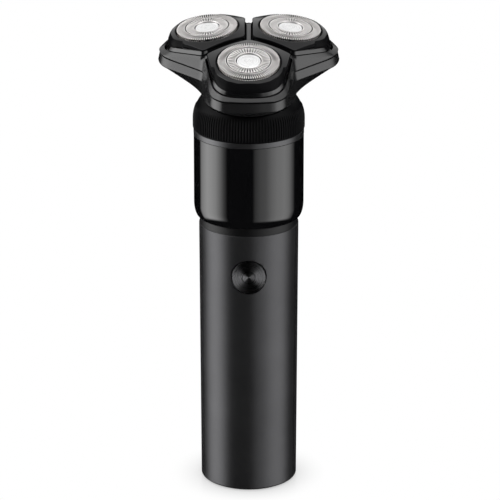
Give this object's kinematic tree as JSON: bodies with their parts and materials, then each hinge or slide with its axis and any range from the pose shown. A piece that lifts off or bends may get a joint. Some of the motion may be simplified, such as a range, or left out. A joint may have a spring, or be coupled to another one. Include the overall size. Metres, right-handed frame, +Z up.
{
  "type": "rotary electric shaver",
  "caption": "Rotary electric shaver: straight matte handle with a push button, gloss upper sleeve, ribbed neck collar and a tilted pull-off head of rocking lobes with slotted caps",
  "frame": {"origin": "centre of the flat foot face at the lower end of the handle", "axes": "+Z up the handle to the head, -Y to the side with the button (the way the head tilts), +X to the right seen from the button"},
  "size_m": [0.0642, 0.0572, 0.1738],
  "materials": {
    "handle_metal": "satin dark anodised",
    "base_plastic": "satin black",
    "seal_rubber": "matte black",
    "screw_steel": "bright",
    "socket_steel": "bright",
    "black_plastic": "black",
    "gloss_black": "high gloss black",
    "trim_satin": "satin dark grey",
    "collar_matte": "matte black, finely ribbed",
    "inner_plastic": "plain grey",
    "cell_wrap": "wrapped cell",
    "tab_nickel": "nickel",
    "board_green": "circuit board",
    "motor_steel": "plated",
    "button_metal": "spun dark metal",
    "white_plastic": "natural nylon-like",
    "head_gloss": "gloss black",
    "spider_grey": "grey",
    "lobe_gloss": "gloss black",
    "cap_steel": "brushed",
    "disc_bright": "spun bright",
    "cutter_steel": "ground"
  },
  "bodies": {
    "handle": {"handle_tube": "handle_metal", "base_cap": "base_plastic", "base_seal": "seal_rubber", "base_screws": "screw_steel", "charge_socket": "socket_steel", "charge_tongue": "black_plastic", "joint_ring": "black_plastic", "upper_sleeve": "gloss_black", "trim_ring": "trim_satin", "neck_collar": "collar_matte", "neck_seal": "seal_rubber", "chassis": "inner_plastic", "battery_cell": "cell_wrap", "cell_tabs": "tab_nickel", "circuit_board": "board_green", "board_switch": "black_plastic", "board_screws": "screw_steel", "motor_can": "motor_steel", "motor_mount": "inner_plastic", "motor_screws": "screw_steel"},
    "button": {"power_button": "black_plastic", "button_face": "button_metal"},
    "drive": {"motor_shaft": "screw_steel", "motor_rotor": "motor_steel", "drive_coupling": "white_plastic"},
    "head": {"chamber_shell": "head_gloss", "head_frame": "head_gloss", "centre_spider": "spider_grey", "gear_plate": "inner_plastic", "gear_cover": "inner_plastic", "gear_screws": "screw_steel", "lobe_pins": "screw_steel"},
    "sun": {"sun_gear": "white_plastic"},
    "gear_front": {"drive_gear_front": "white_plastic"},
    "lobe_front": {"lobe_plate_front": "lobe_gloss", "shaving_cap_front": "cap_steel", "cap_disc_front": "disc_bright", "cap_retainer_front": "black_plastic"},
    "spinner_front": {"cutter_front": "cutter_steel"},
    "gear_left": {"drive_gear_left": "white_plastic"},
    "lobe_left": {"lobe_plate_left": "lobe_gloss", "shaving_cap_left": "cap_steel", "cap_disc_left": "disc_bright", "cap_retainer_left": "black_plastic"},
    "spinner_left": {"cutter_left": "cutter_steel"},
    "gear_right": {"drive_gear_right": "white_plastic"},
    "lobe_right": {"lobe_plate_right": "lobe_gloss", "shaving_cap_right": "cap_steel", "cap_disc_right": "disc_bright", "cap_retainer_right": "black_plastic"},
    "spinner_right": {"cutter_right": "cutter_steel"}
  },
  "joints": [
    {"name": "button_press", "type": "slide", "parent": "handle", "child": "button", "axis": [0, 1, 0], "range_m": [0, 0.0007], "stiffness_N_per_m": 900, "springref_m": -0.0004},
    {"name": "drive_spin", "type": "hinge", "parent": "handle", "child": "drive", "pos_m": [0, 0, 0.137], "axis": [0, -0.1908, 0.9816], "continuous": true},
    {"name": "head_pull", "type": "slide", "parent": "handle", "child": "head", "axis": [0, -0.1908, 0.9816], "range_m": [0, 0.02]},
    {"name": "sun_spin", "type": "hinge", "parent": "head", "child": "sun", "pos_m": [0, -0.00414, 0.1583], "axis": [0, -0.1908, 0.9816], "continuous": true},
    {"name": "gear_front_spin", "type": "hinge", "parent": "head", "child": "gear_front", "pos_m": [0, -0.02034, 0.15515], "axis": [0, -0.1908, 0.9816], "continuous": true},
    {"name": "lobe_front_rock", "type": "hinge", "parent": "head", "child": "lobe_front", "pos_m": [0, -0.02099, 0.15987], "axis": [1, 0, 0], "range_deg": [-3.5, 3.5], "stiffness_Nm_per_rad": 0.06},
    {"name": "cutter_front_spin", "type": "hinge", "parent": "lobe_front", "child": "spinner_front", "pos_m": [0, -0.02242, 0.16425], "axis": [0, -0.309, 0.9511], "continuous": true},
    {"name": "gear_left_spin", "type": "hinge", "parent": "head", "child": "gear_left", "pos_m": [-0.01429, 0.00396, 0.15988], "axis": [0, -0.1908, 0.9816], "continuous": true},
    {"name": "lobe_left_rock", "type": "hinge", "parent": "head", "child": "lobe_left", "pos_m": [-0.01407, 0.00292, 0.16452], "axis": [-0.5, -0.8501, -0.1652], "range_deg": [-3.5, 3.5], "stiffness_Nm_per_rad": 0.06},
    {"name": "cutter_left_spin", "type": "hinge", "parent": "lobe_left", "child": "spinner_left", "pos_m": [-0.01455, 0.00233, 0.16906], "axis": [-0.1055, -0.1296, 0.9859], "continuous": true},
    {"name": "gear_right_spin", "type": "hinge", "parent": "head", "child": "gear_right", "pos_m": [0.01429, 0.00396, 0.15988], "axis": [0, -0.1908, 0.9816], "continuous": true},
    {"name": "lobe_right_rock", "type": "hinge", "parent": "head", "child": "lobe_right", "pos_m": [0.01407, 0.00292, 0.16452], "axis": [-0.5, 0.8501, 0.1652], "range_deg": [-3.5, 3.5], "stiffness_Nm_per_rad": 0.06},
    {"name": "cutter_right_spin", "type": "hinge", "parent": "lobe_right", "child": "spinner_right", "pos_m": [0.01455, 0.00233, 0.16906], "axis": [0.1055, -0.1296, 0.9859], "continuous": true}
  ],
  "couplings": [
    {"joint": "sun_spin", "follows": "drive_spin", "ratio": 1},
    {"joint": "gear_front_spin", "follows": "drive_spin", "ratio": -0.57143},
    {"joint": "cutter_front_spin", "follows": "drive_spin", "ratio": -0.57143},
    {"joint": "gear_left_spin", "follows": "drive_spin", "ratio": -0.57143},
    {"joint": "cutter_left_spin", "follows": "drive_spin", "ratio": -0.57143},
    {"joint": "gear_right_spin", "follows": "drive_spin", "ratio": -0.57143},
    {"joint": "cutter_right_spin", "follows": "drive_spin", "ratio": -0.57143}
  ]
}
